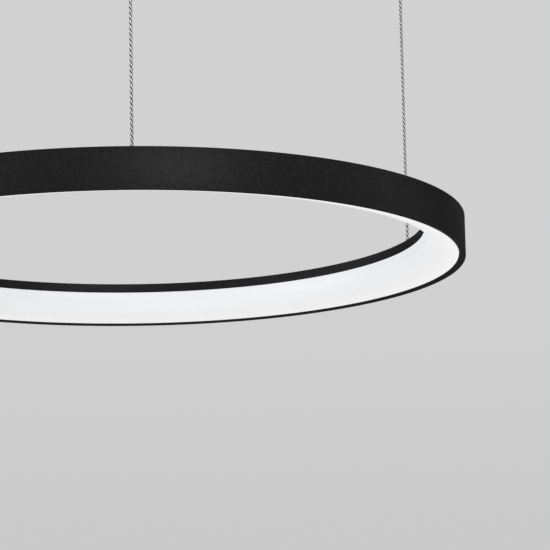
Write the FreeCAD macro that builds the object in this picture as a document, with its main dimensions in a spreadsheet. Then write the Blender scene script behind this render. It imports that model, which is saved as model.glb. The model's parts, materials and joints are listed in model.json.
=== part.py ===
import FreeCAD, Part
import math
import os
import re

import Sketcher

# A ring pendant light. Millimetres, +Z up. The origin is on the ring's axis in the ceiling plane, and the
# ring hangs below it on three twisted steel cables. Angles go round from -Y, the front, towards +X.

sizes = {
    # ring
    "ring_diameter": 600.0,
    "ring_height": 36.0,
    "ring_width": 36.0,
    "ring_drop": 330.0,          # ceiling to the ring's lower edge
    "wall": 1.5,                 # profile wall
    "inner_wall_height": 8.4,
    "rim_width": 6.0,            # black lip round the underside
    "rim_rise": 1.6,             # how far the lip's inner edge stands above its outer edge
    "seam_gap": 0.1,             # between the two halves
    "edge_break": 0.5,           # small bevels
    # slot under the top web that takes nuts, joiners and the terminal block
    "slot_width": 13.0,
    "slot_depth": 3.7,
    "slot_mouth": 10.0,
    "slot_rib": 1.2,
    "diffuser_groove": 3.0,
    "groove_depth": 5.0,
    # opal diffuser
    "opal_wall": 2.0,
    "opal_straight": 2.7,        # upright part above the curve
    "curve_facets": 6,           # flats that the diffuser's quarter round is made of
    "tongue_length": 3.5,
    "tongue_wall": 1.6,
    "fit_gap": 0.3,
    # light strips on the outer wall
    "strip_width": 12.0,
    "strip_wall": 1.2,
    "tape_wall": 0.2,            # adhesive behind the strip
    "strip_drop": 15.5,          # from the web down to the strip's middle
    "strip_end_gap": 6.0,
    "chip_length": 3.5,
    "chip_height": 2.8,
    "chip_depth": 0.8,
    "chips_per_strip": 36,
    # joiners across the two seams
    "joiner_length": 64.0,
    "joiner_wall": 3.0,
    "grub_radius": 2.0,
    "grub_length": 5.0,
    "grub_inset": 10.0,
    # cables and their ends
    "cable_spread": 112.0,       # degrees from the front cable to each of the others
    "cable_radius": 1.35,
    "cable_bore": 1.7,
    "cable_tail": 2.0,           # cable end to the ceiling
    "bush_radius": 4.0,
    "bush_flange_radius": 6.0,
    "bush_flange": 1.2,
    "web_hole_gap": 0.2,         # round the bush and the gland in the profile's web
    "thread_gap": 0.05,
    "nut_width": 12.4,
    "nut_wall": 3.0,
    "bush_stand": 0.5,           # bush end below its nut
    "ferrule_radius": 3.0,
    "ferrule_length": 7.0,
    "ferrule_bore": 1.45,
    # ceiling base and its cup
    "base_radius": 27.0,
    "base_wall": 2.5,
    "hub_radius": 9.0,
    "hub_depth": 9.5,
    "hub_bore": 5.0,
    "screw_spacing": 36.0,
    "screw_hole_radius": 2.25,
    "cup_depth": 26.0,
    "cup_wall": 1.2,
    "cup_chamfer": 1.5,
    "cup_hole_gap": 0.3,
    "collar_radius": 8.6,
    "collar_height": 6.0,
    "collar_gap": 0.08,
    # cable gripper
    "gripper_top": 3.0,          # depth of its upper end below the ceiling
    "shoulder_radius": 7.0,
    "shoulder_depth": 12.0,
    "barrel_radius": 6.0,
    "barrel_depth": 34.0,
    "nose_radius": 4.6,
    "nose_depth": 38.0,
    "chamber_radius": 3.7,
    "chamber_top": 12.3,
    "cone_top": 24.0,
    "cone_foot_radius": 2.8,     # where the cone ends on the nose
    "sleeve_radius": 2.2,
    "sleeve_gap": 0.1,
    "sleeve_end": 43.5,
    "head_radius": 2.7,
    "head_height": 1.0,
    "jaw_top": 27.0,
    "jaw_gap": 0.05,
    "jaw_turn": 110.0,           # degrees that each of the three jaws goes round
    "spring_radius": 2.9,
    "spring_wire": 0.6,
    "spring_turns": 5,
    # power inlet and terminal block
    "inlet_angle": 8.0,          # degrees from the left cable towards the front
    "gland_bore": 2.7,
    "gland_hex": 12.0,
    "gland_height": 7.0,
    "terminal_angle": 12.0,
    "terminal_length": 16.0,
    "terminal_width": 12.0,
    "terminal_height": 9.0,
    "terminal_pitch": 7.0,
    "lead_radius": 0.9,
}

doc = FreeCAD.newDocument("ring_pendant")
sheet = doc.addObject("Spreadsheet::Sheet", "dims")
for row, (alias, amount) in enumerate(sizes.items(), start=1):
    sheet.set(f"A{row}", alias)
    sheet.set(f"B{row}", str(amount))
    sheet.setAlias(f"B{row}", alias)
doc.recompute()


def bound(text):
    """The expression with every size read from the sheet."""
    return re.sub(r"[a-z_]+", lambda m: "dims." + m.group() if m.group() in sizes else m.group(), text)


def number(text):
    """The expression's value at the sheet's present sizes."""
    return float(sheet.evalExpression(bound(text)))


def new_body(name):
    body = doc.addObject("PartDesign::Body", name)
    body.Label = name
    return body


def new_sketch(body, name, role):
    sketch = body.newObject("Sketcher::SketchObject", name)
    plane = next(part for part in body.Origin.OriginFeatures if part.Role == role)
    sketch.AttachmentSupport = [(plane, "")]
    sketch.MapMode = "FlatFace"
    return sketch


def pin(sketch, edge, end, across, up):
    """Hold one point of the sketch at two sizes from its origin."""
    for kind, text in (("DistanceX", across), ("DistanceY", up)):
        held = sketch.addConstraint(Sketcher.Constraint(kind, -1, 1, edge, end, number(text)))
        sketch.setExpression(f"Constraints[{held}]", bound(text))


def draw(sketch, corners):
    """A closed outline of straight lines through (x, y) corners."""
    spots = [FreeCAD.Vector(number(across), number(up), 0) for across, up in corners]
    first = sketch.GeometryCount
    for index in range(len(corners)):
        sketch.addGeometry(Part.LineSegment(spots[index], spots[(index + 1) % len(corners)]))
    for index, corner in enumerate(corners):
        after = (index + 1) % len(corners)
        sketch.addConstraint(Sketcher.Constraint("Coincident", first + index, 2, first + after, 1))
        pin(sketch, first + index, 1, *corner)


def quarter_round(across, up, radius, steps):
    """Corners round a quarter circle about (across, up), from its inward side to its lowest point."""
    turns = [90 * step / steps for step in range(steps + 1)]
    return [(f"({across} - {radius} * cos({turn}))", f"({up} - {radius} * sin({turn}))") for turn in turns]


def draw_square(sketch, across, up, half):
    draw(sketch, [(f"{across} + {half}", f"{up} + {half}"), (f"{across} - {half}", f"{up} + {half}"),
                  (f"{across} - {half}", f"{up} - {half}"), (f"{across} + {half}", f"{up} - {half}")])


def draw_circle(sketch, across, up, radius):
    spot = FreeCAD.Vector(number(across), number(up), 0)
    edge = sketch.addGeometry(Part.Circle(spot, FreeCAD.Vector(0, 0, 1), number(radius)))
    pin(sketch, edge, 3, across, up)
    held = sketch.addConstraint(Sketcher.Constraint("Radius", edge, number(radius)))
    sketch.setExpression(f"Constraints[{held}]", bound(radius))


def revolve(body, corners, role="XZ_Plane", angle=None):
    """Turn an outline of (radius, height) corners about Z, all round or by an angle centred on its plane."""
    sketch = new_sketch(body, "section", role)
    draw(sketch, corners)
    spin = body.newObject("PartDesign::Revolution", "turned")
    spin.Profile = sketch
    spin.ReferenceAxis = (sketch, ["V_Axis"])
    spin.Angle = 360
    if angle:
        spin.Midplane = True
        spin.setExpression("Angle", bound(angle))
    sketch.Visibility = False
    return spin


def group(name, members):
    """Pieces that share a node as separate solids."""
    joined = doc.addObject("Part::Compound", name)
    joined.Label = name
    joined.Links = members
    return joined


def extrude(body, sketch, length, symmetric=False):
    pad = body.newObject("PartDesign::Pad", "pad")
    pad.Profile = sketch
    pad.setExpression("Length", bound(length))
    if symmetric:
        pad.SideType = "Symmetric"
    return pad


def cut(body, sketch, length, backwards=False, symmetric=False):
    """A pocket that has to take something away."""
    doc.recompute()
    before = body.Shape.Volume
    pocket = body.newObject("PartDesign::Pocket", "pocket")
    pocket.Profile = sketch
    pocket.setExpression("Length", bound(length))
    pocket.Reversed = backwards
    if symmetric:
        pocket.SideType = "Symmetric"
    doc.recompute()
    if body.Shape.Volume >= before:
        raise ValueError(f"{body.Label}: a pocket cuts nothing")
    return pocket


def drill(body, holes, length, backwards=True):
    """Round holes along Z from the body's XY plane; a hole is (x, y, radius)."""
    sketch = new_sketch(body, "holes", "XY_Plane")
    for hole in holes:
        draw_circle(sketch, *hole)
    return cut(body, sketch, length, backwards)


# heights and radii that several pieces share, as expressions on the sheet
outer = "(ring_diameter / 2)"
inner = "(ring_diameter / 2 - ring_width)"
slot_middle = "(ring_diameter / 2 - ring_width / 2)"
web_under = "(ring_height - wall)"
slot_floor = "(ring_height - wall - slot_depth)"
bush_end = "(ring_height - wall - nut_wall - bush_stand)"
ring_level = number("-ring_drop")

suspension = {"front": 0.0, "right": sizes["cable_spread"], "left": -sizes["cable_spread"]}


def spot(angle, radius, level):
    """A place on the ring, with the piece's own X pointing outwards."""
    turn = math.radians(angle)
    place = FreeCAD.Vector(radius * math.sin(turn), -radius * math.cos(turn), level)
    return FreeCAD.Placement(place, FreeCAD.Rotation(FreeCAD.Vector(0, 0, 1), angle - 90))


def under_ceiling(angle):
    """The place of a cable's fittings in the ceiling plane, all facing the same way."""
    place = spot(angle, number(slot_middle), 0).Base
    return FreeCAD.Placement(place, FreeCAD.Rotation())


# The ring's profile: tall outer wall, top web, short inner wall, a sloping lip under the outer edge, a
# T-slot under the web and a groove for the diffuser's upper leg.
def rib(side):
    """One rib of the T-slot, a foot turned towards the slot's middle; side is -1 inwards or 1 outwards."""
    face = f"({slot_middle} + {side} * slot_width / 2)"
    back = f"({face} + {side} * slot_rib)"
    mouth = f"({slot_middle} + {side} * slot_mouth / 2)"
    foot = f"({slot_floor} - slot_rib)"
    return [(face, web_under), (face, slot_floor), (mouth, slot_floor), (mouth, foot), (back, foot),
            (back, web_under)]


groove_face = f"({inner} + wall + diffuser_groove)"
groove_foot = f"({web_under} - groove_depth)"
lip_top = "(rim_rise + wall)"
profile_outline = [
    (outer, "0"),
    (outer, "ring_height"),
    (inner, "ring_height"),
    (inner, "ring_height - inner_wall_height"),
    (f"{inner} + wall", "ring_height - inner_wall_height"),
    (f"{inner} + wall", web_under),
    (groove_face, web_under),
    (groove_face, groove_foot),
    (f"{groove_face} + slot_rib", groove_foot),
    (f"{groove_face} + slot_rib", web_under),
    *reversed(rib(-1)),
    *rib(1),
    (f"{outer} - wall", web_under),
    (f"{outer} - wall", lip_top),
    (f"{outer} - rim_width", lip_top),
    (f"{outer} - rim_width", "rim_rise"),
]
half_turn = "180 - seam_gap / ring_diameter * 360 / pi"
web_hole = "bush_radius + web_hole_gap"
inlet_place = suspension["left"] + sizes["inlet_angle"]
terminal_place = suspension["left"] + sizes["terminal_angle"]
seams = {"right": 90.0, "left": -90.0}


def ring_part(name, outline, angle, turn):
    """A section swept part of the way round the ring, its middle at the rear when turn is 0."""
    body = new_body(name)
    revolve(body, outline, "YZ_Plane", angle)
    body.Placement = FreeCAD.Placement(FreeCAD.Vector(0, 0, ring_level),
                                       FreeCAD.Rotation(FreeCAD.Vector(0, 0, 1), turn))
    return body


def profile_half(side, angles):
    """Half of the rolled profile, drilled through its web where the bushes and the gland pass."""
    turn = halves[side]
    body = ring_part(f"profile_{side}", profile_outline, half_turn, turn)
    drill(body, [(f"{slot_middle} * sin({angle - turn})", f"-{slot_middle} * cos({angle - turn})", web_hole)
                 for angle in angles], "ring_height")


halves = {"rear": 0, "front": 180}
profile_half("rear", [suspension["right"], suspension["left"], inlet_place])
profile_half("front", [suspension["front"]])

# The diffuser, in two halves too: an opal quarter-round from the inner wall down to the lip. Its lower
# tongue lies on the lip and its upper leg goes into the groove.
opal_face = inner
opal_under = "rim_rise"
opal_top = "(ring_height - inner_wall_height - fit_gap)"
curve_up = f"({opal_top} - opal_straight)"
opal_curve = f"({curve_up} - {opal_under})"
curve_across = f"({opal_face} + {opal_curve})"
leg_face = f"({inner} + wall + fit_gap)"
leg_back = f"({groove_face} - fit_gap)"
tongue_under = f"({lip_top} + fit_gap)"
tongue_top = f"({tongue_under} + tongue_wall)"
opal_edge = f"({outer} - rim_width - fit_gap)"
inner_facets = int(sizes["curve_facets"]) // 2
diffuser_outline = [
    (opal_face, opal_top),
    *quarter_round(curve_across, curve_up, opal_curve, int(sizes["curve_facets"])),
    (opal_edge, opal_under),
    (opal_edge, tongue_under),
    (f"{opal_edge} + fit_gap + tongue_length", tongue_under),
    (f"{opal_edge} + fit_gap + tongue_length", tongue_top),
    (f"{opal_edge} - opal_wall", tongue_top),
    (f"{opal_edge} - 2 * opal_wall", f"{opal_under} + opal_wall"),
    *reversed(quarter_round(curve_across, curve_up, f"({opal_curve} - opal_wall)", inner_facets)),
    (leg_back, f"{opal_top} + fit_gap"),
    (leg_back, f"{web_under} - fit_gap"),
    (leg_face, f"{web_under} - fit_gap"),
    (leg_face, opal_top),
]
for side, turn in halves.items():
    ring_part(f"diffuser_{side}", diffuser_outline, half_turn, turn)

# Flexible light strips stuck to the outer wall's inside, with their chips facing the axis.
strip_back = f"({outer} - wall - tape_wall)"
strip_face = f"({strip_back} - strip_wall)"
strip_centre = f"({web_under} - strip_drop)"
strip_low = f"({strip_centre} - strip_width / 2)"
strip_high = f"({strip_centre} + strip_width / 2)"
strip_turn = "(180 - strip_end_gap / ring_diameter * 360 / pi)"
chip_angle = number(strip_turn) / sizes["chips_per_strip"]

for side, turn in halves.items():
    ring_part(f"light_strip_{side}", [(strip_face, strip_low), (strip_back, strip_low),
                                      (strip_back, strip_high), (strip_face, strip_high)], strip_turn, turn)
    chips = []
    for index in range(int(sizes["chips_per_strip"])):
        angle = turn + 180 + (index + 0.5) * chip_angle - number(strip_turn) / 2
        chip = doc.addObject("Part::Box", f"chip_{side}")
        chip.setExpression("Length", bound("chip_depth"))
        chip.setExpression("Width", bound("chip_length"))
        chip.setExpression("Height", bound("chip_height"))
        corner = FreeCAD.Placement(
            FreeCAD.Vector(-sizes["chip_depth"] - sizes["thread_gap"], -sizes["chip_length"] / 2,
                           -sizes["chip_height"] / 2),
            FreeCAD.Rotation())
        chip.Placement = spot(angle, number(strip_face), ring_level + number(strip_centre)) * corner
        chips.append(chip)
    group(f"light_chips_{side}", chips)

# Joiners: curved bars in the T-slot across each seam, with grub screws that press on the web.
joiner_low = f"({slot_floor} + fit_gap / 2)"
joiner_high = f"({joiner_low} + joiner_wall)"
joiner_in = f"({slot_middle} - nut_width / 2)"
joiner_out = f"({slot_middle} + nut_width / 2)"
screw_turn = number(f"(joiner_length / 2 - grub_inset) / {slot_middle} * 180 / pi")
joiners = []
grubs = []
for side, angle in seams.items():
    joiner = ring_part(f"joiner_{side}", [(joiner_in, joiner_low), (joiner_out, joiner_low),
                                          (joiner_out, joiner_high), (joiner_in, joiner_high)],
                       f"joiner_length / {slot_middle} * 180 / pi", angle + 180)
    joiners.append(joiner)
    drill(joiner, [(f"-{slot_middle} * sin({turn})", f"{slot_middle} * cos({turn})",
                    "grub_radius + thread_gap") for turn in (-screw_turn, screw_turn)], "ring_height")
    for turn in (-screw_turn, screw_turn):
        grub = doc.addObject("Part::Cylinder", f"grub_{side}")
        grub.setExpression("Radius", bound("grub_radius"))
        grub.setExpression("Height", bound("grub_length"))
        grub.Placement = spot(angle + turn, number(slot_middle),
                              ring_level + number(f"{web_under} - grub_length"))
        grubs.append(grub)
group("joiners", joiners)
group("joiner_screws", grubs)


# What holds each cable to the ring: a flanged bush through the web, a square nut in the T-slot and a
# ferrule pressed on the cable's end.
def square_nut(name, angle, hole):
    nut = new_body(name)
    sketch = new_sketch(nut, "outline", "XY_Plane")
    draw_square(sketch, "0", "0", "nut_width / 2")
    draw_circle(sketch, "0", "0", f"{hole} + thread_gap")
    extrude(nut, sketch, "nut_wall")
    nut.Placement = spot(angle, number(slot_middle), ring_level + number(f"{web_under} - nut_wall"))
    return nut


def anchor_bush(name, angle):
    bush = new_body(name)
    top = "(ring_height + bush_flange)"
    revolve(bush, [("cable_bore", bush_end), ("bush_radius", bush_end), ("bush_radius", "ring_height"),
                   ("bush_flange_radius", "ring_height"), ("bush_flange_radius", top), ("cable_bore", top)])
    bush.Placement = spot(angle, number(slot_middle), ring_level)
    return bush


def ferrule(name, angle):
    piece = new_body(name)
    low = f"({bush_end} - ferrule_length)"
    revolve(piece, [("ferrule_bore", low), ("ferrule_radius", low), ("ferrule_radius", bush_end),
                    ("ferrule_bore", bush_end)])
    piece.Placement = spot(angle, number(slot_middle), ring_level)


def cable(name, angle):
    """One taut run from its tail above the gripper to the ferrule's lower end."""
    length = f"(ring_drop - cable_tail - {bush_end} + ferrule_length)"
    rope = doc.addObject("Part::Cylinder", name)
    rope.Label = name
    rope.setExpression("Radius", bound("cable_radius"))
    rope.setExpression("Height", bound(length))
    rope.Placement = spot(angle, number(slot_middle), number(f"{bush_end} - ferrule_length - ring_drop"))


# At the ceiling: a base plate with two screw holes and a threaded hub.
def ceiling_base(name, angle):
    base = new_body(name)
    revolve(base, [("hub_bore", "0"), ("hub_bore", "-hub_depth"), ("hub_radius", "-hub_depth"),
                   ("hub_radius", "-base_wall"), ("base_radius", "-base_wall"), ("base_radius", "0")])
    drill(base, [("screw_spacing / 2", "0", "screw_hole_radius"),
                 ("-screw_spacing / 2", "0", "screw_hole_radius")], "hub_depth", backwards=False)
    base.Placement = under_ceiling(angle)
    return base


# A thin cup hides the base, and a collar on the gripper's barrel holds it up.
def ceiling_cup(name, angle):
    cup = new_body(name)
    inside = "(base_radius + fit_gap)"
    outside = f"({inside} + cup_wall)"
    hole = "(barrel_radius + cup_hole_gap)"
    revolve(cup, [(inside, "-fit_gap"), (outside, "-fit_gap"), (outside, "cup_chamfer - cup_depth"),
                  (f"{outside} - cup_chamfer", "-cup_depth"), (hole, "-cup_depth"),
                  (hole, "cup_wall - cup_depth"), (inside, "cup_wall - cup_depth")])
    cup.Placement = under_ceiling(angle)


def cup_collar(name, angle):
    collar = new_body(name)
    top = "(-cup_depth)"
    low = "(-cup_depth - collar_height)"
    bore = "(barrel_radius + collar_gap)"
    revolve(collar, [(bore, top), ("collar_radius", top), ("collar_radius", f"{low} + edge_break"),
                     ("collar_radius - edge_break", low), (bore, low)])
    collar.Placement = under_ceiling(angle)


# The cable gripper: three jaws are pulled down a cone on to the cable, and pushing the sleeve up frees them
# against a spring.
def gripper_body(name, angle):
    body = new_body(name)
    shank = "(hub_bore - thread_gap)"
    mouth = "(sleeve_radius + sleeve_gap)"
    revolve(body, [("cable_bore", "-gripper_top"), (shank, "-gripper_top"), (shank, "-hub_depth"),
                   ("shoulder_radius", "-hub_depth"), ("shoulder_radius", "-shoulder_depth"),
                   ("barrel_radius", "-shoulder_depth"), ("barrel_radius", "-barrel_depth"),
                   ("nose_radius", "-nose_depth"), (mouth, "-nose_depth"), (mouth, "-barrel_depth"),
                   ("cone_foot_radius", "-barrel_depth"), ("chamber_radius", "-cone_top"),
                   ("chamber_radius", "-chamber_top"), ("cable_bore", "-chamber_top")])
    body.Placement = under_ceiling(angle)
    return body


head_low = "(sleeve_gap - barrel_depth)"
head_top = f"({head_low} + head_height)"


def gripper_sleeve(name, angle):
    """A push tube that carries the jaws on its head."""
    sleeve = new_body(name)
    revolve(sleeve, [("cable_bore", head_top), ("head_radius", head_top), ("head_radius", head_low),
                     ("sleeve_radius", head_low), ("sleeve_radius", "-sleeve_end"),
                     ("cable_bore", "-sleeve_end")])
    sleeve.Placement = under_ceiling(angle)


def cone_radius(level):
    """The cone's radius at a level between its foot and its top."""
    slope = "(chamber_radius - cone_foot_radius) / (barrel_depth - cone_top)"
    return f"(cone_foot_radius + ({level} + barrel_depth) * {slope})"


def gripper_jaws(name, angle):
    """Three wedges that fit the cone outside and the cable inside."""
    low = f"({head_top} + jaw_gap)"
    top = "(-jaw_top)"
    bore = "(cable_radius + jaw_gap)"
    jaws = []
    for turn in (0, 120, 240):
        jaw = new_body(f"jaw_{turn}")
        revolve(jaw, [(bore, low), (f"{cone_radius(low)} - jaw_gap", low),
                      (f"{cone_radius(top)} - jaw_gap", top), (bore, top)], angle="jaw_turn")
        jaw.Placement = under_ceiling(angle) * FreeCAD.Placement(
            FreeCAD.Vector(), FreeCAD.Rotation(FreeCAD.Vector(0, 0, 1), turn))
        jaws.append(jaw)
    group(name, jaws)


steps_per_turn = 6


def gripper_spring(name, angle):
    """A compression coil of square wire between the chamber's top and the jaws."""
    low = number("-jaw_top + fit_gap + spring_wire / 2")
    high = number("-chamber_top - fit_gap - spring_wire / 2")
    half = sizes["spring_wire"] / 2
    steps = int(sizes["spring_turns"] * steps_per_turn)
    rings = []
    for step in range(steps + 1):
        turn = FreeCAD.Rotation(FreeCAD.Vector(0, 0, 1), 360 * step / steps_per_turn)
        level = low + (high - low) * step / steps
        corners = [FreeCAD.Vector(sizes["spring_radius"] + across * half, 0, level + up * half)
                   for across, up in ((-1, -1), (1, -1), (1, 1), (-1, 1), (-1, -1))]
        rings.append(Part.makePolygon([turn.multVec(corner) for corner in corners]))
    spring = doc.addObject("Part::Feature", name)
    spring.Label = name
    spring.Shape = Part.makeLoft(rings, True, True)
    spring.Placement = under_ceiling(angle)


for place_name, place_angle in suspension.items():
    ferrule(f"cable_ferrule_{place_name}", place_angle)
    cable(f"cable_{place_name}", place_angle)
    ceiling_cup(f"ceiling_cup_{place_name}", place_angle)
    cup_collar(f"cup_collar_{place_name}", place_angle)
    gripper_sleeve(f"gripper_sleeve_{place_name}", place_angle)
    gripper_jaws(f"gripper_jaws_{place_name}", place_angle)
    gripper_spring(f"gripper_spring_{place_name}", place_angle)

group("ceiling_bases", [ceiling_base(f"base_{side}", angle) for side, angle in suspension.items()])
group("gripper_bodies", [gripper_body(f"gripper_{side}", angle) for side, angle in suspension.items()])
group("anchor_bushes", [anchor_bush(f"bush_{side}", angle) for side, angle in suspension.items()])
group("anchor_nuts", [square_nut(f"nut_{side}", angle, "bush_radius") for side, angle in suspension.items()])

# Power inlet beside the left cable: a hexagon-headed gland, its nut, and a terminal block that slides into
# the T-slot and feeds the strips.
gland = new_body("inlet_gland")
revolve(gland, [("gland_bore", bush_end), ("bush_radius", bush_end), ("bush_radius", "ring_height"),
                ("gland_hex / 2", "ring_height"), ("gland_hex / 2", "ring_height + gland_height * 0.6"),
                ("gland_bore + wall", "ring_height + gland_height"),
                ("gland_bore", "ring_height + gland_height")])
gland.Placement = spot(inlet_place, number(slot_middle), ring_level)
square_nut("gland_nut", inlet_place, "bush_radius")

terminal = new_body("terminal_block")
block_top = f"({slot_floor} - slot_rib - fit_gap)"
neck = "(slot_mouth / 2 - fit_gap)"
head = "(nut_width / 2)"
half_block = "(terminal_width / 2)"
block_low = f"({block_top} - terminal_height)"
section = new_sketch(terminal, "section", "XZ_Plane")
draw(section, [(half_block, block_low), (half_block, block_top), (neck, block_top), (neck, joiner_low),
               (head, joiner_low), (head, joiner_high), (f"-{head}", joiner_high), (f"-{head}", joiner_low),
               (f"-{neck}", joiner_low),
               (f"-{neck}", block_top), (f"-{half_block}", block_top), (f"-{half_block}", block_low)])
extrude(terminal, section, "terminal_length", symmetric=True)
wells = new_sketch(terminal, "wells", "XY_Plane")
ways = new_sketch(terminal, "ways", "YZ_Plane")
lead_level = f"({block_low} + terminal_height * 0.4)"
screw_half = "(grub_radius + thread_gap)"
lead_half = "(lead_radius + thread_gap)"
for side in (-1, 1):
    middle = f"{side} * terminal_pitch / 2"
    draw_square(wells, "0", middle, screw_half)
    draw_square(ways, middle, lead_level, lead_half)
cut(terminal, wells, f"{block_low} + terminal_height * 0.7", backwards=True)
cut(terminal, ways, "terminal_width", symmetric=True)
terminal.Placement = spot(terminal_place, number(slot_middle), ring_level)

screws = []
leads = []
for side in (-1, 1):
    offset = side * sizes["terminal_pitch"] / 2
    screw = doc.addObject("Part::Cylinder", "terminal_screw")
    screw.setExpression("Radius", bound("grub_radius"))
    screw.setExpression("Height", bound("grub_length / 2"))
    low = FreeCAD.Placement(FreeCAD.Vector(0, offset, number(block_low) + sizes["thread_gap"]),
                            FreeCAD.Rotation())
    screw.Placement = terminal.Placement * low
    screws.append(screw)
    reach = number(f"sqrt({strip_face}^2 - (terminal_pitch / 2 + lead_radius)^2) - {slot_middle}")
    lead = doc.addObject("Part::Cylinder", "lead")
    lead.setExpression("Radius", bound("lead_radius"))
    lead.Height = reach - number("grub_radius + fit_gap")
    along = FreeCAD.Placement(
        FreeCAD.Vector(number("grub_radius + fit_gap"), offset, number(lead_level)),
        FreeCAD.Rotation(FreeCAD.Vector(0, 1, 0), 90))
    lead.Placement = terminal.Placement * along
    leads.append(lead)
group("terminal_screws", screws)
group("strip_leads", leads)

doc.recompute()
failed = [item.Label for item in doc.Objects if {"Invalid", "Error"} & set(item.State)]
inside = {member.Name for item in doc.Objects if item.TypeId == "Part::Compound" for member in item.Links}
kept_types = ("PartDesign::Body", "Part::Compound", "Part::Cylinder", "Part::Feature")
pieces = [item for item in doc.Objects if item.TypeId in kept_types and item.Name not in inside]
failed += [item.Label for item in pieces if item.Shape.isNull() or not item.Shape.isValid()]
if failed:
    raise ValueError(f"these failed: {failed}")
os.makedirs("parts", exist_ok=True)
for item in pieces:
    item.Shape.exportStep(f"parts/{item.Label}.step")
print(len(pieces), "pieces")
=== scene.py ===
import json
import math

import bmesh
import bpy
from mathutils import Matrix, Vector


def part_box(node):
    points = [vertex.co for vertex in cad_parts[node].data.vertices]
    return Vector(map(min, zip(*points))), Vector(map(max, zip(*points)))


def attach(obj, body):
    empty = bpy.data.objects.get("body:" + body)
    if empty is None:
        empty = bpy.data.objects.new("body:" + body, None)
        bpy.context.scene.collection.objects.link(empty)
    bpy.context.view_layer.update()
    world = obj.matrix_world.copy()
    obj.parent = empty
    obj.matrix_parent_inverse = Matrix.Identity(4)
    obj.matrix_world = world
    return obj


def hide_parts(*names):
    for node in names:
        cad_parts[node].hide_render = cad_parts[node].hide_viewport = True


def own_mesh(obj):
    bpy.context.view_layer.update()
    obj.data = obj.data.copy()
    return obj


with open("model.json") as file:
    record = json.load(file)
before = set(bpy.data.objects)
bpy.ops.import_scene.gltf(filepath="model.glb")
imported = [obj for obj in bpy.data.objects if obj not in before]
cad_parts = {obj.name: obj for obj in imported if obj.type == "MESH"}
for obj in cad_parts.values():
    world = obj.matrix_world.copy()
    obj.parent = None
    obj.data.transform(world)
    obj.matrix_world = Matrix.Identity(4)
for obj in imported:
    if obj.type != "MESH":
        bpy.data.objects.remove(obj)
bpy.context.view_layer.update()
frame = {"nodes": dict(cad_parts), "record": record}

mm = 0.001
weld = 0.001 * mm  # points nearer than this are one
sides = ("front", "right", "left")
halves = {"rear": 90.0, "front": -90.0}  # the middle of each half of the ring, in degrees from +X

ringBox = {
    "low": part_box("profile_front")[0][2],
    "high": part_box("profile_front")[1][2],
    "radius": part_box("profile_rear")[1][1],
}


def cablePlace(side):
    low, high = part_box(f"cable_{side}")
    return (low[0] + high[0]) / 2, (low[1] + high[1]) / 2


places = {side: cablePlace(side) for side in sides}


# Camera: a long lens a little below the ring, looking up at its right half
cameraView = {
    "distance": 2.4,
    "level": -0.8211,
    "aroundAxis": -0.35,  # degrees about the ring's axis
    "yaw": -0.05378,  # radians, as pitch and roll
    "pitch": 0.19786,
    "roll": -0.02034,
    "focalPixels": 2727.66,
    "framePixels": 550,
    "sensor": 36.0,
    "clip": (0.05, 60.0),
}


def makeCamera():
    data = bpy.data.cameras.new("viewCamera")
    camera = bpy.data.objects.new("viewCamera", data)
    bpy.context.collection.objects.link(camera)
    data.sensor_width = cameraView["sensor"]
    data.lens = cameraView["focalPixels"] / cameraView["framePixels"] * cameraView["sensor"]
    data.clip_start, data.clip_end = cameraView["clip"]
    around = math.radians(cameraView["aroundAxis"])
    turn = Matrix.Rotation(around + cameraView["yaw"], 4, "Z")
    tilt = Matrix.Rotation(math.pi / 2 + cameraView["pitch"], 4, "X")
    lean = Matrix.Rotation(cameraView["roll"], 4, "Z")
    stand = Matrix.Rotation(around, 4, "Z") @ Vector((0, -cameraView["distance"], cameraView["level"]))
    camera.matrix_world = Matrix.Translation(stand) @ turn @ tilt @ lean
    bpy.context.scene.camera = camera


# Node helpers, for a material or the world
noiseRange = (0.3, 0.7)  # where most of a noise node's values lie


def newMaterial(name, colour, roughness, metallic=0.0):
    material = bpy.data.materials.new(name)
    material.use_nodes = True
    shader = material.node_tree.nodes["Principled BSDF"]
    shader.inputs["Base Color"].default_value = (*colour, 1)
    shader.inputs["Roughness"].default_value = roughness
    shader.inputs["Metallic"].default_value = metallic
    material.diffuse_color = (*colour, 1)
    return material, shader


def addNode(holder, kind, **values):
    node = holder.node_tree.nodes.new(kind)
    for key, value in values.items():
        if key in node.inputs:
            node.inputs[key].default_value = value
        else:
            setattr(node, key, value)
    return node


def join(holder, source, target):
    holder.node_tree.links.new(source, target)


def objectNoise(material, scale, detail=2.0, stretch=(1, 1, 1)):
    where = addNode(material, "ShaderNodeTexCoord")
    mapping = addNode(material, "ShaderNodeMapping", Scale=stretch)
    join(material, where.outputs["Object"], mapping.inputs["Vector"])
    noise = addNode(material, "ShaderNodeTexNoise", Scale=scale, Detail=detail)
    join(material, mapping.outputs["Vector"], noise.inputs["Vector"])
    return noise.outputs["Fac"]


def spread(holder, value, source, target=(0, 1)):
    # maps one range of values to another
    ranged = addNode(holder, "ShaderNodeMapRange")
    for key, amount in zip(("From Min", "From Max", "To Min", "To Max"), (*source, *target)):
        ranged.inputs[key].default_value = amount
    join(holder, value, ranged.inputs["Value"])
    return ranged.outputs["Result"]


def blendColours(holder, value, first, second):
    ramp = addNode(holder, "ShaderNodeValToRGB")
    ramp.color_ramp.elements[0].color = (*first, 1)
    ramp.color_ramp.elements[1].color = (*second, 1)
    join(holder, value, ramp.inputs["Fac"])
    return ramp.outputs["Color"]


def mottledColour(material, shader, noise, first, second):
    colour = blendColours(material, spread(material, noise, noiseRange), first, second)
    join(material, colour, shader.inputs["Base Color"])


def unevenRoughness(material, shader, noise, roughness, swing):
    levels = [roughness + part for part in swing]
    join(material, spread(material, noise, noiseRange, levels), shader.inputs["Roughness"])


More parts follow.
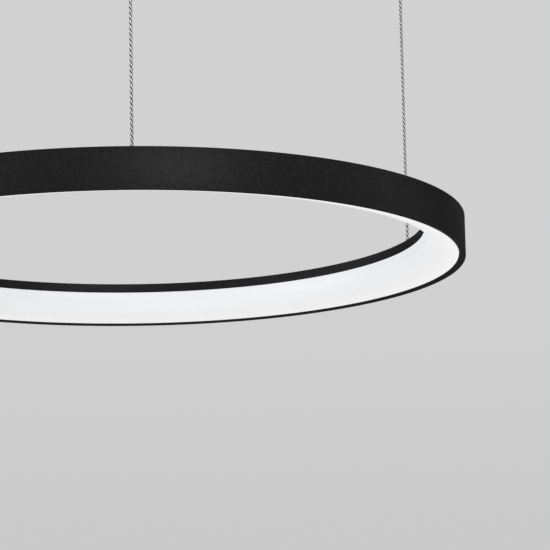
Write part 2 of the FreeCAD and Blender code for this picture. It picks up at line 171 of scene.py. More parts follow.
def bumpFrom(material, shader, value, strength, distance):
    bump = addNode(material, "ShaderNodeBump", Strength=strength, Distance=distance)
    join(material, value, bump.inputs["Height"])
    join(material, bump.outputs["Normal"], shader.inputs["Normal"])


# Finishes
powder = {
    "dark": (0.0015, 0.0015, 0.0018),
    "light": (0.0105, 0.0105, 0.0120),
    "roughness": (0.34, 0.58),
    "gloss": 0.15,  # specular level
    "graze": (0.12, 0.64),  # facing values between which a slanting view finds the coat rougher
    "grainPerMetre": 1000.0,
    "grainDetail": 3.0,
    "cloudPerMetre": 520.0,
    "bump": 0.6,
    "grainHeight": 0.11 * mm,
}


def powderCoat():
    material, shader = newMaterial("blackPowderCoat", powder["light"], powder["roughness"][1])
    shader.inputs["Specular IOR Level"].default_value = powder["gloss"]
    grain = objectNoise(material, powder["grainPerMetre"], powder["grainDetail"])
    cloud = objectNoise(material, powder["cloudPerMetre"])
    mottledColour(material, shader, cloud, powder["dark"], powder["light"])
    slant = addNode(material, "ShaderNodeLayerWeight")
    rougher = addNode(material, "ShaderNodeMath", operation="MAXIMUM")
    join(material, spread(material, grain, noiseRange, powder["roughness"]), rougher.inputs[0])
    join(material, spread(material, slant.outputs["Facing"], powder["graze"]), rougher.inputs[1])
    join(material, rougher.outputs["Value"], shader.inputs["Roughness"])
    bumpFrom(material, shader, grain, powder["bump"], powder["grainHeight"])
    return material


# the opal's colour holds painted shade, darker and bluer towards the inner wall, and a painted highlight,
# paler towards the rim
opal = {
    "shadedAtWall": (0.53, 0.55, 0.575),
    "body": (0.61, 0.612, 0.622),
    "highlitNearRim": (0.79, 0.79, 0.81),
    "highlitAtRim": (0.795, 0.795, 0.79),
    "stops": {"shadedAtWall": 0.0, "body": 0.3, "highlitNearRim": 0.93, "highlitAtRim": 1.0},  # of the way from wall to rim
    "glow": (1.0, 1.0, 1.0),
    "glowStrength": 0.335,
    "roughness": 0.42,
    "roughnessSwing": (-0.05, 0.05),
    "mottlePerMetre": 300.0,
    "bump": 0.05,
    "mottleHeight": 0.1 * mm,
}


def opalPlastic():
    material, shader = newMaterial("opalPlastic", opal["body"], opal["roughness"])
    where = addNode(material, "ShaderNodeTexCoord")
    level = addNode(material, "ShaderNodeMapping", Scale=(1, 1, 0))
    join(material, where.outputs["Object"], level.inputs["Vector"])
    reach = addNode(material, "ShaderNodeVectorMath", operation="LENGTH")
    join(material, level.outputs["Vector"], reach.inputs[0])
    skinSpan = (ringBox["radius"] - profile["width"], ringBox["radius"] - profile["rimWidth"])
    # painted shade towards the inner wall and painted highlight towards the rim, set by the distance from
    # the ring's axis
    ramp = addNode(material, "ShaderNodeValToRGB")
    stops = ramp.color_ramp.elements
    stops.remove(stops[-1])
    for name, share in opal["stops"].items():
        stop = stops.new(share) if share > 0 else stops[0]
        stop.color = (*opal[name], 1)
    join(material, spread(material, reach.outputs["Value"], skinSpan), ramp.inputs["Fac"])
    join(material, ramp.outputs["Color"], shader.inputs["Base Color"])
    shader.inputs["Emission Color"].default_value = (*opal["glow"], 1)
    shader.inputs["Emission Strength"].default_value = opal["glowStrength"]
    mottle = objectNoise(material, opal["mottlePerMetre"])
    unevenRoughness(material, shader, mottle, opal["roughness"], opal["roughnessSwing"])
    bumpFrom(material, shader, mottle, opal["bump"], opal["mottleHeight"])
    return material


wire = {
    "bright": (0.88, 0.88, 0.89),
    "paintedDarkCrest": (0.062, 0.062, 0.064),
    "flank": (0.5, 0.0),  # cosines of the turn round a strand, where the painted dark reflection on its crest gives way to bright
    "roughness": 0.28,
    "roughnessSwing": (-0.06, 0.08),
    "scratchesPerMetre": 2500.0,
    "scratchStretch": (1, 1, 0.2),
}


def twistedSteel():
    material, shader = newMaterial("twistedSteel", wire["bright"], wire["roughness"], metallic=1.0)
    where = addNode(material, "ShaderNodeTexCoord")
    split = addNode(material, "ShaderNodeSeparateXYZ")
    join(material, where.outputs["UV"], split.inputs["Vector"])
    # painted reflection: each strand's crest is painted dark and its flanks keep the steel's bright colour,
    # by the turn round the strand read from the UV
    turn = addNode(material, "ShaderNodeMath", operation="MULTIPLY")
    turn.inputs[1].default_value = 2 * math.pi
    join(material, split.outputs["Y"], turn.inputs[0])
    crest = addNode(material, "ShaderNodeMath", operation="COSINE")
    join(material, turn.outputs["Value"], crest.inputs[0])
    flank = spread(material, crest.outputs["Value"], wire["flank"])
    join(material, blendColours(material, flank, wire["paintedDarkCrest"], wire["bright"]), shader.inputs["Base Color"])
    scratches = objectNoise(material, wire["scratchesPerMetre"], stretch=wire["scratchStretch"])
    unevenRoughness(material, shader, scratches, wire["roughness"], wire["roughnessSwing"])
    return material


metals = {
    "spring_steel": {"name": "springSteel", "colour": (0.55, 0.55, 0.56), "roughness": 0.3,
                     "scratchesPerMetre": 900.0, "stretch": (1, 1, 6)},
    "nickel_brass": {"name": "satinNickel", "colour": (0.66, 0.64, 0.60), "roughness": 0.32,
                     "scratchesPerMetre": 1200.0, "stretch": (1, 1, 9)},
    "zinc_steel": {"name": "zincPlate", "colour": (0.60, 0.62, 0.64), "roughness": 0.4,
                   "scratchesPerMetre": 500.0, "stretch": (1, 1, 1)},
}
plating = {
    "scratchDetail": 4.0,
    "darker": 0.82,  # share of the colour that is left in the scratches
    "roughnessSwing": (-0.08, 0.1),
    "bump": 0.15,
    "scratchDepth": 0.03 * mm,
}


def platedMetal(name, colour, roughness, scratchesPerMetre, stretch):
    material, shader = newMaterial(name, colour, roughness, metallic=1.0)
    scratches = objectNoise(material, scratchesPerMetre, plating["scratchDetail"], stretch)
    darker = [plating["darker"] * part for part in colour]
    mottledColour(material, shader, scratches, darker, colour)
    unevenRoughness(material, shader, scratches, roughness, plating["roughnessSwing"])
    bumpFrom(material, shader, scratches, plating["bump"], plating["scratchDepth"])
    return material


plastics = {
    "strip_board": {"name": "stripBoard", "colour": (0.86, 0.86, 0.84), "roughness": 0.45,
                    "specksPerMetre": 700.0},
    "chip_phosphor": {"name": "chipPhosphor", "colour": (0.90, 0.76, 0.22), "roughness": 0.35,
                      "specksPerMetre": 2500.0},
    "black_nylon": {"name": "blackNylon", "colour": (0.028, 0.028, 0.03), "roughness": 0.5,
                    "specksPerMetre": 1600.0},
    "ivory_plastic": {"name": "ivoryPlastic", "colour": (0.80, 0.77, 0.68), "roughness": 0.35,
                      "specksPerMetre": 900.0},
    "lead_sleeve": {"name": "leadSleeve", "colour": (0.50, 0.04, 0.03), "roughness": 0.4,
                    "specksPerMetre": 1500.0},
}
moulding = {
    "paler": 1.12,
    "lift": 0.004,
    "roughnessSwing": (-0.06, 0.06),
    "bump": 0.2,
    "speckHeight": 0.04 * mm,
}


def moulded(name, colour, roughness, specksPerMetre):
    material, shader = newMaterial(name, colour, roughness)
    specks = objectNoise(material, specksPerMetre)
    paler = [min(1.0, moulding["paler"] * part + moulding["lift"]) for part in colour]
    mottledColour(material, shader, specks, colour, paler)
    unevenRoughness(material, shader, specks, roughness, moulding["roughnessSwing"])
    bumpFrom(material, shader, specks, moulding["bump"], moulding["speckHeight"])
    return material


def makeFinishes():
    bySlot = {
        "black_powder_coat": powderCoat(),
        "black_cup": powderCoat(),
        "opal_plastic": opalPlastic(),
        "steel_cable": twistedSteel(),
    }
    for slot, metal in metals.items():
        bySlot[slot] = platedMetal(**metal)
    for slot, plastic in plastics.items():
        bySlot[slot] = moulded(**plastic)
    return bySlot


# Modelling helpers
def alone(piece):
    bpy.ops.object.select_all(action="DESELECT")
    piece.select_set(True)
    bpy.context.view_layer.objects.active = piece


def pick(piece, test):
    # selects, in edit mode, the points that pass
    mesh = bmesh.from_edit_mesh(piece.data)
    for vert in mesh.verts:
        vert.select_set(bool(test(vert.co)))
    mesh.select_flush_mode()
    bmesh.update_edit_mesh(piece.data)


def near(first, second):
    return (Vector(first) - Vector(second)).length < weld


def turned(name, corners, steps, centre=(0, 0), degrees=360.0, start=0.0, rounds=()):
    # an outline of (radius, height) corners, drawn point by point and spun about a vertical axis;
    # rounds are (corner, radius, segments)
    axis = Vector((centre[0], centre[1], 0))
    out = Vector((math.cos(math.radians(start)), math.sin(math.radians(start)), 0))
    spots = [axis + out * radius + Vector((0, 0, level)) for radius, level in corners]
    bpy.ops.object.select_all(action="DESELECT")
    bpy.ops.mesh.primitive_plane_add(size=mm)  # merged to a point, where the outline starts
    piece = bpy.context.object
    piece.name = piece.data.name = name
    bpy.ops.object.mode_set(mode="EDIT")
    bpy.ops.mesh.select_mode(type="VERT")
    bpy.ops.mesh.merge(type="CENTER")
    bpy.ops.transform.translate(value=spots[0])
    for before, after in zip(spots, spots[1:]):
        bpy.ops.mesh.extrude_region_move(TRANSFORM_OT_translate={"value": after - before})
    pick(piece, lambda co: near(co, spots[0]) or near(co, spots[-1]))
    bpy.ops.mesh.edge_face_add()
    for corner, radius, segments in rounds:
        at = axis + out * corner[0] + Vector((0, 0, corner[1]))
        pick(piece, lambda co: near(co, at))
        bpy.ops.mesh.bevel(offset=radius, segments=segments, affect="VERTICES")
    bpy.ops.mesh.select_all(action="SELECT")
    bpy.ops.mesh.spin(steps=steps, angle=math.radians(degrees), center=axis, axis=(0, 0, 1))
    bpy.ops.mesh.select_all(action="SELECT")
    bpy.ops.mesh.remove_doubles(threshold=weld)
    if degrees < 360:
        bpy.ops.mesh.select_all(action="DESELECT")
        bpy.ops.mesh.select_non_manifold()
        bpy.ops.mesh.fill_holes(sides=0)
        bpy.ops.mesh.select_all(action="SELECT")
    bpy.ops.mesh.normals_make_consistent(inside=False)
    bpy.ops.object.mode_set(mode="OBJECT")
    return piece


smoothBelow = 32.0  # degrees between faces


def finished(piece, body, slot, node, smooth=smoothBelow):
    alone(piece)
    bpy.ops.object.shade_smooth_by_angle(angle=math.radians(smooth))
    piece.data.materials.clear()
    piece.data.materials.append(finishes[slot])
    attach(piece, body)
    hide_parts(node)


def copyAt(side, piece, name):
    # a copy, at another cable, of a piece made at the front one
    shift = [there - here for there, here in zip(places[side], places["front"])]
    alone(piece)
    bpy.ops.object.duplicate()
    twin = bpy.context.object
    twin.name = twin.data.name = name
    bpy.ops.transform.translate(value=(*shift, 0))
    bpy.ops.object.transform_apply(location=True, rotation=False, scale=False)
    return twin


def joined(pieces, name):
    bpy.ops.object.select_all(action="DESELECT")
    for piece in pieces:
        piece.select_set(True)
    bpy.context.view_layer.objects.active = pieces[0]
    bpy.ops.object.join()
    whole = bpy.context.object
    whole.name = whole.data.name = name
    return whole


def onEveryCable(piece, name):
    # the same piece at all three cables, joined
    twins = [copyAt(side, piece, f"{name}{side}") for side in sides[1:]]
    return joined([piece, *twins], name)


# The ring's rolled profile, with its T-slot and the diffuser's groove
profile = {
    "width": 36 * mm,
    "wall": 1.5 * mm,
    "innerWall": 8.4 * mm,
    "rimWidth": 6 * mm,
    "rimRise": 1.6 * mm,
    "slotWidth": 13 * mm,
    "slotDepth": 3.7 * mm,
    "slotMouth": 10 * mm,
    "rib": 1.2 * mm,
    "groove": 3 * mm,
    "grooveDepth": 5 * mm,
    "edge": (0.45 * mm, 3),  # a round's radius and segments, here and below
    "seam": 0.02 * mm,
    "steps": 216,  # in half a turn
}


def profileOutline():
    outer, high, low = ringBox["radius"], ringBox["high"], ringBox["low"]
    inner = outer - profile["width"]
    middle = outer - profile["width"] / 2
    web = high - profile["wall"]
    floor = web - profile["slotDepth"]
    foot = floor - profile["rib"]
    grooveFace = inner + profile["wall"] + profile["groove"]
    lip = low + profile["rimRise"] + profile["wall"]
    corners = [(outer, low), (outer, high), (inner, high), (inner, high - profile["innerWall"]),
               (inner + profile["wall"], high - profile["innerWall"]), (inner + profile["wall"], web),
               (grooveFace, web), (grooveFace, web - profile["grooveDepth"]),
               (grooveFace + profile["rib"], web - profile["grooveDepth"]),
               (grooveFace + profile["rib"], web)]
    for side in (-1, 1):
        face = middle + side * profile["slotWidth"] / 2
        back = face + side * profile["rib"]
        mouth = middle + side * profile["slotMouth"] / 2
        rib = [(back, web), (back, foot), (mouth, foot), (mouth, floor), (face, floor), (face, web)]
        corners += rib if side < 0 else rib[::-1]
    rim = outer - profile["rimWidth"]
    corners += [(outer - profile["wall"], web), (outer - profile["wall"], lip), (rim, lip),
                (rim, low + profile["rimRise"])]
    shown = (0, 1, 2, 3, len(corners) - 1)
    return corners, [(corners[index], *profile["edge"]) for index in shown]


def halfRing(name, corners, rounds, side):
    reach = 180 - math.degrees(profile["seam"] / ringBox["radius"])
    return turned(name, corners, profile["steps"], degrees=reach, start=halves[side] - reach / 2,
                  rounds=rounds)


def makeProfile():
    corners, rounds = profileOutline()
    for side in halves:
        piece = halfRing(f"ringProfile{side.title()}", corners, rounds, side)
        finished(piece, "ring", "black_powder_coat", f"profile_{side}")


# The opal diffuser: a quarter-round skin in two halves, with a leg in the groove and a tongue on the rim
skin = {
    "wall": 2 * mm,
    "gap": 0.3 * mm,
    "straight": 2.7 * mm,
    "tongue": 3.5 * mm,
    "tongueWall": 1.6 * mm,
    "slope": 0.20,  # the underside's rise inwards from the rim, for each metre of run
    "curve": 16 * mm,
    "curveSteps": 16,
    "edge": (0.25 * mm, 2),
}


def diffuserOutline():
    outer, high, low = ringBox["radius"], ringBox["high"], ringBox["low"]
    inner = outer - profile["width"]
    top = high - profile["innerWall"] - skin["gap"]
    under = low + profile["rimRise"]
    edge = outer - profile["rimWidth"] - skin["gap"]
    ledge = under + profile["wall"] + skin["gap"]
    legIn = inner + profile["wall"] + skin["gap"]
    legOut = inner + profile["wall"] + profile["groove"] - skin["gap"]
    legTop = high - profile["wall"] - skin["gap"]

    def slope(radius, depth=0.0):
        return under + (edge - radius) * skin["slope"] + depth * math.hypot(1, skin["slope"])

    outside = (inner, slope(inner))
    inside = (inner + skin["wall"], slope(inner + skin["wall"], skin["wall"]))
    tongueFoot = edge - 2 * skin["wall"]
    tongueEnd = edge + skin["gap"] + skin["tongue"]
    tongueTop = ledge + skin["tongueWall"]
    corners = [(inner, top), outside, (edge, under), (edge, ledge), (tongueEnd, ledge),
               (tongueEnd, tongueTop), (edge - skin["wall"], tongueTop),
               (tongueFoot, slope(tongueFoot, skin["wall"])), inside,
               (inner + skin["wall"], top - skin["straight"] / 2), (legOut, top + skin["gap"]),
               (legOut, legTop), (legIn, legTop), (legIn, top)]
    rounds = [(outside, skin["curve"], skin["curveSteps"]),
              (inside, skin["curve"] - skin["wall"], skin["curveSteps"]),
              ((edge, under), *skin["edge"]), ((inner, top), *skin["edge"])]
    return corners, rounds


def makeDiffuser():
    corners, rounds = diffuserOutline()
    for side in halves:
        piece = halfRing(f"diffuser{side.title()}", corners, rounds, side)
        finished(piece, "ring", "opal_plastic", f"diffuser_{side}")


# The cables: two strands of bright steel wire laid round each other
cable = {
    "levels": (-0.306, -0.205, -0.103, -0.002),  # the route's points, from the ferrule to above the gripper
    "diameter": 2.7 * mm,
    "pitch": 8.8 * mm,
    "ringsPerTurn": 20,
    "wires": 6,  # in the outer layer of each strand
    "wirePitch": 5.5 * mm,
    "wireSides": 4,
    "wireDepth": 0.14,  # of the groove beside each wire, as a share of the strand's radius
    "travel": 180 * mm,
    "smoothBelow": 60.0,
}


def routeLine(side):
    x, y = places[side]
    data = bpy.data.curves.new(f"route{side.title()}", "CURVE")
    data.dimensions = "3D"
    spline = data.splines.new("NURBS")
    spline.points.add(len(cable["levels"]) - 1)
    for point, level in zip(spline.points, cable["levels"]):
        point.co = (x, y, level, 1)
    spline.order_u = 3
    spline.use_endpoint_u = True
    line = bpy.data.objects.new(data.name, data)
    bpy.context.collection.objects.link(line)
    bpy.context.view_layer.update()
    mesh = bpy.data.meshes.new_from_object(line)
    points = [vert.co.copy() for vert in mesh.vertices]
    bpy.data.objects.remove(line)
    return points


def stations(points, gap):
    # places at an even spacing along the route, each with its distance from the start
    lengths = [0.0]
    for before, after in zip(points, points[1:]):
        lengths.append(lengths[-1] + (after - before).length)
    count = int(lengths[-1] / gap)
    leg = 0
    for index in range(count + 1):
        at = lengths[-1] * index / count
        while leg < len(points) - 2 and lengths[leg + 1] < at:
            leg += 1
        share = (at - lengths[leg]) / (lengths[leg + 1] - lengths[leg])
        yield points[leg].lerp(points[leg + 1], share), at


def strandOf(name, route, start):
    # wires swept round the route; v runs round the strand, from 0 on its outermost line
    radius = cable["diameter"] / 4
    count = cable["wires"] * cable["wireSides"]
    step = 1 / count
    mesh = bmesh.new()
    lay = mesh.loops.layers.uv.new("lay")
    before = None
    for place, at in stations(route, cable["pitch"] / cable["ringsPerTurn"]):
        turn = start - 2 * math.pi * at / cable["pitch"]
        out = Vector((math.cos(turn), math.sin(turn), 0))
        along = Vector((math.sin(turn), -math.cos(turn), 0)) * (2 * math.pi * radius / cable["pitch"])
        across = (along + Vector((0, 0, 1))).normalized().cross(out)
        ring, shares = [], []
        for index in range(count):
            share = index * step + at / cable["wirePitch"]
            groove = cable["wireDepth"] * math.sqrt(index % cable["wireSides"] / cable["wireSides"])
            angle = 2 * math.pi * share
            outwards = out * math.cos(angle) + across * math.sin(angle)
            ring.append(mesh.verts.new(place + out * radius + outwards * radius * (1 - groove)))
            shares.append(share)
        if before:
            for index in range(count):
                after = (index + 1) % count
                face = mesh.faces.new((before[0][index], before[0][after], ring[after], ring[index]))
                spots = ((before[2], before[1][index]), (before[2], before[1][index] + step),
                         (at, shares[index] + step), (at, shares[index]))
                for loop, spot in zip(face.loops, spots):
                    loop[lay].uv = spot
        else:
            mesh.faces.new(ring[::-1])
        before = (ring, shares, at)
    mesh.faces.new(before[0])
    bmesh.ops.recalc_face_normals(mesh, faces=mesh.faces)
    data = bpy.data.meshes.new(name)
    mesh.to_mesh(data)
    mesh.free()
    piece = bpy.data.objects.new(name, data)
    bpy.context.collection.objects.link(piece)
    return piece


def makeCable(side):
    route = routeLine(side)
    strands = [strandOf(f"strand{side}", route, start) for start in (0, math.pi)]
    piece = joined(strands, f"cable{side.title()}")
    finished(piece, "root", "steel_cable", f"cable_{side}", cable["smoothBelow"])
    x, y = places[side]
    [tuple(point) for point in route]
    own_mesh(piece)


# Where each cable enters the ring
bush = {
    "bore": 1.7 * mm,
    "shank": 4 * mm,
    "flange": 6 * mm,
    "rise": 1.2 * mm,
    "flangeRound": (0.5 * mm, 3),
    "boreRound": (0.4 * mm, 3),
    "steps": 48,
}


def makeBushes():
    top = ringBox["high"] + bush["rise"]
    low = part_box("anchor_bushes")[0][2]
    corners = [(bush["bore"], low), (bush["shank"], low), (bush["shank"], ringBox["high"]),
               (bush["flange"], ringBox["high"]), (bush["flange"], top), (bush["bore"], top)]
    rounds = [((bush["flange"], top), *bush["flangeRound"]), ((bush["bore"], top), *bush["boreRound"])]
    piece = turned("anchorBush", corners, bush["steps"], centre=places["front"], rounds=rounds)
    finished(onEveryCable(piece, "anchorBushes"), "ring", "nickel_brass", "anchor_bushes")


# Ceiling cups and their fluted collars
cup = {
    "outside": 28.5 * mm,
    "wall": 1.2 * mm,
    "hole": 6.3 * mm,
    "round": (1.9 * mm, 6),
    "innerSegments": 4,
    "edge": (0.3 * mm, 2),
    "steps": 96,
}
collar = {
    "bore": 6.08 * mm,
    "outside": 8.6 * mm,
    "band": 0.9 * mm,
    "teeth": 60,
    "depth": 0.22 * mm,
    "edge": (0.3 * mm, 2),
    "smoothBelow": 20.0,
}


def onEachCable(piece, part, body, slot, node, smooth=smoothBelow):
    # the same piece at all three cables, each on its own body
    pieces = {"front": piece}
    for side in sides[1:]:
        pieces[side] = copyAt(side, piece, f"{part}{side.title()}")
    for side, twin in pieces.items():
        finished(twin, f"{body}_{side}", slot, f"{node}_{side}", smooth)


def makeCups():
    low, high = [corner[2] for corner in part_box("ceiling_cup_front")]
    outside, inside = cup["outside"], cup["outside"] - cup["wall"]
    corners = [(inside, high), (outside, high), (outside, low), (cup["hole"], low),
               (cup["hole"], low + cup["wall"]), (inside, low + cup["wall"])]
    rounds = [((outside, low), *cup["round"]),
              ((inside, low + cup["wall"]), cup["round"][0] - cup["wall"], cup["innerSegments"]),
              ((outside, high), *cup["edge"]), ((cup["hole"], low), *cup["edge"])]
    piece = turned("cupFront", corners, cup["steps"], centre=places["front"], rounds=rounds)
    onEachCable(piece, "cup", "cup", "black_cup", "ceiling_cup")


def makeCollars():
    low, high = [corner[2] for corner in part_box("cup_collar_front")]
    outside, band = collar["outside"], collar["band"]
    groove = outside - 2 * collar["depth"]
    corners = [(collar["bore"], high), (outside, high), (outside, high - band),
               (groove, high - band - collar["depth"]), (groove, low + band + collar["depth"]),
               (outside, low + band), (outside, low), (collar["bore"], low)]
    rounds = [((outside, high), *collar["edge"]), ((outside, low), *collar["edge"])]
    piece = turned("collarFront", corners, 2 * collar["teeth"], centre=places["front"], rounds=rounds)
    alone(piece)
    bpy.ops.object.mode_set(mode="EDIT")
    middle = Vector((*places["front"], 0))

    def tooth(co):
        # every other line of points in the groove
        across = Vector((co.x, co.y, 0)) - middle
        index = round(math.degrees(math.atan2(across.y, across.x)) / (180 / collar["teeth"]))
        return index % 2 == 0 and abs(across.length - groove) < 10 * weld

    pick(piece, tooth)
    grow = outside / groove
    bpy.ops.transform.resize(value=(grow, grow, 1), center_override=middle)
    bpy.ops.object.mode_set(mode="OBJECT")
    onEachCable(piece, "collar", "cup", "nickel_brass", "cup_collar", collar["smoothBelow"])


# The gripper's turned body
gripper = {
    "bore": 1.7 * mm,
    "shank": 4.95 * mm,
    "shoulder": 7 * mm,
    "barrel": 6 * mm,
    "nose": 4.6 * mm,
    "mouth": 2.3 * mm,
    "coneFoot": 2.8 * mm,
    "chamber": 3.7 * mm,
    "levels": (-3 * mm, -9.5 * mm, -12 * mm, -34 * mm, -38 * mm),  # top, hub, shoulder, barrel and nose
    "chamberLevels": (-24 * mm, -12.3 * mm),  # the cone's end and the chamber's roof
    "shoulderRound": (0.3 * mm, 2),
    "barrelRound": (0.6 * mm, 3),
    "noseRound": (0.5 * mm, 3),
    "steps": 48,
}


def makeGrippers():
    top, hub, shoulder, barrel, nose = gripper["levels"]
    cone, chamber = gripper["chamberLevels"]
    corners = [(gripper["bore"], top), (gripper["shank"], top), (gripper["shank"], hub),
               (gripper["shoulder"], hub), (gripper["shoulder"], shoulder), (gripper["barrel"], shoulder),
               (gripper["barrel"], barrel), (gripper["nose"], nose), (gripper["mouth"], nose),
               (gripper["mouth"], barrel), (gripper["coneFoot"], barrel), (gripper["chamber"], cone),
               (gripper["chamber"], chamber), (gripper["bore"], chamber)]
    rounds = [((gripper["barrel"], barrel), *gripper["barrelRound"]),
              ((gripper["nose"], nose), *gripper["noseRound"]),
              ((gripper["shoulder"], hub), *gripper["shoulderRound"]),
              ((gripper["shoulder"], shoulder), *gripper["shoulderRound"])]
    piece = turned("gripper", corners, gripper["steps"], centre=places["front"], rounds=rounds)
    finished(onEveryCable(piece, "gripperBodies"), "root", "nickel_brass", "gripper_bodies")


# The sleeve that frees the cable
sleeve = {
    "bore": 1.7 * mm,
    "tube": 2.2 * mm,
    "head": 2.7 * mm,
    "headHeight": 1 * mm,
    "edge": (0.2 * mm, 3),
    "steps": 40,
}


def makeSleeves():
    low, high = [corner[2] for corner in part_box("gripper_sleeve_front")]
    under = high - sleeve["headHeight"]
    corners = [(sleeve["bore"], high), (sleeve["head"], high), (sleeve["head"], under),
               (sleeve["tube"], under), (sleeve["tube"], low), (sleeve["bore"], low)]
    rounds = [((sleeve["tube"], low), *sleeve["edge"]), ((sleeve["bore"], low), *sleeve["edge"])]
    piece = turned("sleeveFront", corners, sleeve["steps"], centre=places["front"], rounds=rounds)
    onEachCable(piece, "sleeve", "release", "nickel_brass", "gripper_sleeve")


# The coil in each gripper
coil = {
    "radius": 2.9 * mm,
    "wire": 0.28 * mm,
    "turns": 5,
    "pointsPerTurn": 20,
    "resolution": 2,
    "travel": 2.5 * mm,
    "smoothBelow": 60.0,
}


def wireAlong(name, points, radius, resolution):
    data = bpy.data.curves.new(name, "CURVE")
    data.dimensions = "3D"
    spline = data.splines.new("POLY")
    spline.points.add(len(points) - 1)
    for point, co in zip(spline.points, points):
        point.co = (*co, 1)
    data.bevel_depth = radius
    data.bevel_resolution = resolution
    data.use_fill_caps = True
    piece = bpy.data.objects.new(name, data)
    bpy.context.collection.objects.link(piece)
    alone(piece)
    bpy.ops.object.convert(target="MESH")
    return bpy.context.object


def makeSprings():
    low, high = [corner[2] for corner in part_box("gripper_spring_front")]
    first, last = low + coil["wire"], high - coil["wire"]
    count = coil["turns"] * coil["pointsPerTurn"]
    for side in sides:
        x, y = places[side]
        points = []
        for index in range(count + 1):
            turn = 2 * math.pi * index / coil["pointsPerTurn"]
            points.append((x + coil["radius"] * math.cos(turn), y + coil["radius"] * math.sin(turn),
                           first + (last - first) * index / count))
        piece = wireAlong(f"spring{side.title()}", points, coil["wire"], coil["resolution"])
        finished(piece, "root", "spring_steel", f"gripper_spring_{side}", coil["smoothBelow"])
        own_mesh(piece)


# The gland of the supply cord
gland = {
    "bore": 2.7 * mm,
    "shank": 4 * mm,
    "hex": 6 * mm,
    "hexHeight": 4.2 * mm,
    "hexEdge": (0.35 * mm, 2),
    "cap": 5.4 * mm,
    "capHeight": 4.6 * mm,
    "capRound": (1.0 * mm, 4),
    "mouth": 4.2 * mm,
    "mouthRound": (0.4 * mm, 3),
    "steps": 40,
}


def makeGland():
    lowest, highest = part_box("inlet_gland")
    x, y = [(lowest[axis] + highest[axis]) / 2 for axis in (0, 1)]
    seat = ringBox["high"]
    capFoot = seat + gland["hexHeight"] / 2
    capTop = seat + gland["capHeight"]
    corners = [(gland["bore"], lowest[2]), (gland["shank"], lowest[2]), (gland["shank"], capFoot),
               (gland["cap"], capFoot), (gland["cap"], capTop), (gland["mouth"], highest[2]),
               (gland["bore"], highest[2])]
    rounds = [((gland["cap"], capTop), *gland["capRound"]),
              ((gland["mouth"], highest[2]), *gland["mouthRound"])]
    cap = turned("glandCap", corners, gland["steps"], centre=(x, y), rounds=rounds)
    bpy.ops.object.select_all(action="DESELECT")
    bpy.ops.mesh.primitive_cylinder_add(vertices=6, radius=gland["hex"], depth=gland["hexHeight"],
                                        location=(x, y, capFoot))
    nut = bpy.context.object
    bpy.ops.object.transform_apply(location=True, rotation=False, scale=False)
    bpy.ops.object.mode_set(mode="EDIT")
    bpy.ops.mesh.select_all(action="SELECT")
    width, segments = gland["hexEdge"]
    bpy.ops.mesh.bevel(offset=width, segments=segments, affect="EDGES")
    bpy.ops.object.mode_set(mode="OBJECT")
    finished(joined([cap, nut], "inletGland"), "ring", "black_nylon", "inlet_gland")


# The ceiling plates and the terminal block keep the shape of their solids, with broken edges
broken = {"edge": (0.3 * mm, 2), "flatWithin": 1.0, "cornerOver": 35.0}  # angles in degrees


def edged(node, name):
    # a copy of a solid with its triangles merged and its edges broken
    source = frame["nodes"][node]
    piece = source.copy()
    piece.data = source.data.copy()
    piece.name = piece.data.name = name
    bpy.context.collection.objects.link(piece)
    piece.parent = None
    piece.matrix_world = Matrix.Identity(4)
    alone(piece)
    bpy.ops.object.mode_set(mode="EDIT")
    bpy.ops.mesh.select_all(action="SELECT")
    bpy.ops.mesh.remove_doubles(threshold=weld)
    bpy.ops.mesh.dissolve_limited(angle_limit=math.radians(broken["flatWithin"]))
    bpy.ops.object.mode_set(mode="OBJECT")
    bevel = piece.modifiers.new("edges", "BEVEL")
    bevel.width, bevel.segments = broken["edge"]
    bevel.limit_method = "ANGLE"
    bevel.angle_limit = math.radians(broken["cornerOver"])
    bpy.ops.object.modifier_apply(modifier=bevel.name)
    return piece


def makePlatesAndBlock():
    finished(edged("ceiling_bases", "ceilingBases"), "root", "zinc_steel", "ceiling_bases")
    finished(edged("terminal_block", "terminalBlock"), "ring", "ivory_plastic", "terminal_block")


def dressSolids():
    # every solid gets the finish of its own slot
    slots = {part["node"]: part["material_slot"] for part in frame["record"]["subparts"]}
    for node, solid in frame["nodes"].items():
        finish = finishes[slots[node]]
        if not solid.material_slots:
            solid.data.materials.append(finish)
        for slot in solid.material_slots:
            slot.material = finish


# Room: a pale floor below the light and a plain grey surround
room = {
    "floorLevel": -4.5,
    "floorSize": 90.0,
    "floorColour": (0.86, 0.86, 0.85),
    "floorPaler": 1.03,
    "floorRoughness": 0.8,
    "cloudPerMetre": 1.5,
    "surround": (0.640, 0.640, 0.642),
    "surroundLow": (0.595, 0.595, 0.597),
    "heights": (0.10, 0.21),  # sine of the height over the horizon, from the lower colour to the upper
    "surroundLight": 0.62,
}
lamps = {
    "front": {"place": (0.75, -3.0, 0.42), "aim": (0, 0, -0.3), "size": 1.4, "watts": 29.0},
    "side": {"place": (-2.6, -1.6, 0.42), "aim": (0, 0, -0.3), "size": 1.0, "watts": 8.0},
    "left": {"place": (-3.1, -0.5, -0.8), "aim": (0, 0, -0.3), "size": 1.4, "watts": 24.0},
    "below": {"place": (0.2, -0.6, -1.6), "aim": (0, 0, -0.3), "size": 1.5, "watts": 3.4},
    "rear": {"place": (-0.8, 1.7, 2.4), "aim": (0, 0, -0.2), "size": 1.6, "watts": 14.0},
}


def makeFloor():
    bpy.ops.object.select_all(action="DESELECT")
    bpy.ops.mesh.primitive_plane_add(size=room["floorSize"], location=(0, 0, room["floorLevel"]))
    floor = bpy.context.object
    floor.name = "floor"
    material, shader = newMaterial("floorPaint", room["floorColour"], room["floorRoughness"])
    cloud = objectNoise(material, room["cloudPerMetre"])
    paler = [room["floorPaler"] * part for part in room["floorColour"]]
    join(material, blendColours(material, cloud, room["floorColour"], paler), shader.inputs["Base Color"])
    floor.data.materials.append(material)


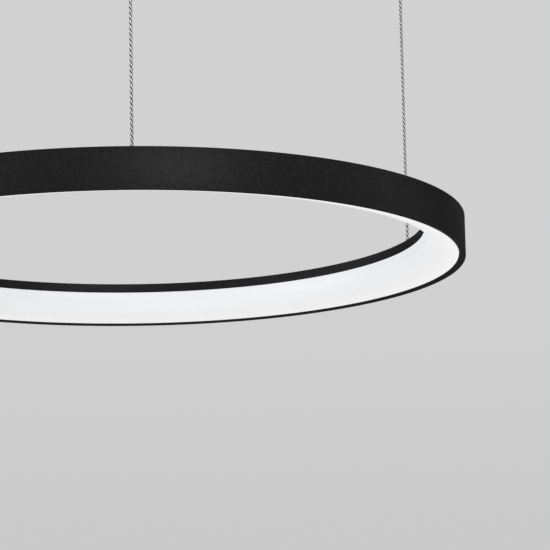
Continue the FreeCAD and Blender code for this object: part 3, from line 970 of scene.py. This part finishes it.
def makeSurround():
    # one plain light for the object, and a grey that only the camera, gloss and glass see
    world = bpy.data.worlds.new("room")
    bpy.context.scene.world = world
    world.use_nodes = True
    nodes = world.node_tree.nodes
    light = nodes["Background"]
    light.inputs["Strength"].default_value = room["surroundLight"]
    light.inputs["Color"].default_value = (1, 1, 1, 1)
    where = addNode(world, "ShaderNodeTexCoord")
    split = addNode(world, "ShaderNodeSeparateXYZ")
    join(world, where.outputs["Generated"], split.inputs["Vector"])
    height = spread(world, split.outputs["Z"], room["heights"])
    height.node.interpolation_type = "SMOOTHSTEP"
    shown = addNode(world, "ShaderNodeBackground")
    join(world, blendColours(world, height, room["surroundLow"], room["surround"]), shown.inputs["Color"])
    rays = addNode(world, "ShaderNodeLightPath")
    seen = rays.outputs["Is Camera Ray"]
    for kind in ("Is Glossy Ray", "Is Transmission Ray"):
        either = addNode(world, "ShaderNodeMath", operation="ADD", use_clamp=True)
        join(world, seen, either.inputs[0])
        join(world, rays.outputs[kind], either.inputs[1])
        seen = either.outputs["Value"]
    mix = addNode(world, "ShaderNodeMixShader")
    for index, source in enumerate((seen, light.outputs["Background"], shown.outputs["Background"])):
        join(world, source, mix.inputs[index])
    join(world, mix.outputs["Shader"], nodes["World Output"].inputs["Surface"])


def makeLamps():
    for name, lamp in lamps.items():
        data = bpy.data.lights.new(name, "AREA")
        data.size, data.energy = lamp["size"], lamp["watts"]
        light = bpy.data.objects.new(name, data)
        bpy.context.collection.objects.link(light)
        light.location = lamp["place"]
        light.rotation_euler = (Vector(lamp["aim"]) - light.location).to_track_quat("-Z", "Y").to_euler()


makeCamera()
finishes = makeFinishes()
print("camera set, finishes mixed")
for side in sides:
    makeCable(side)
print("cables laid")
makeProfile()
makeDiffuser()
print("ring turned")
makeBushes()
makeGland()
makeCups()
makeCollars()
makeGrippers()
makeSleeves()
makeSprings()
makePlatesAndBlock()
print("fittings made")
dressSolids()
makeFloor()
makeSurround()
makeLamps()
bpy.context.scene.view_settings.view_transform = "Standard"
print("room lit")
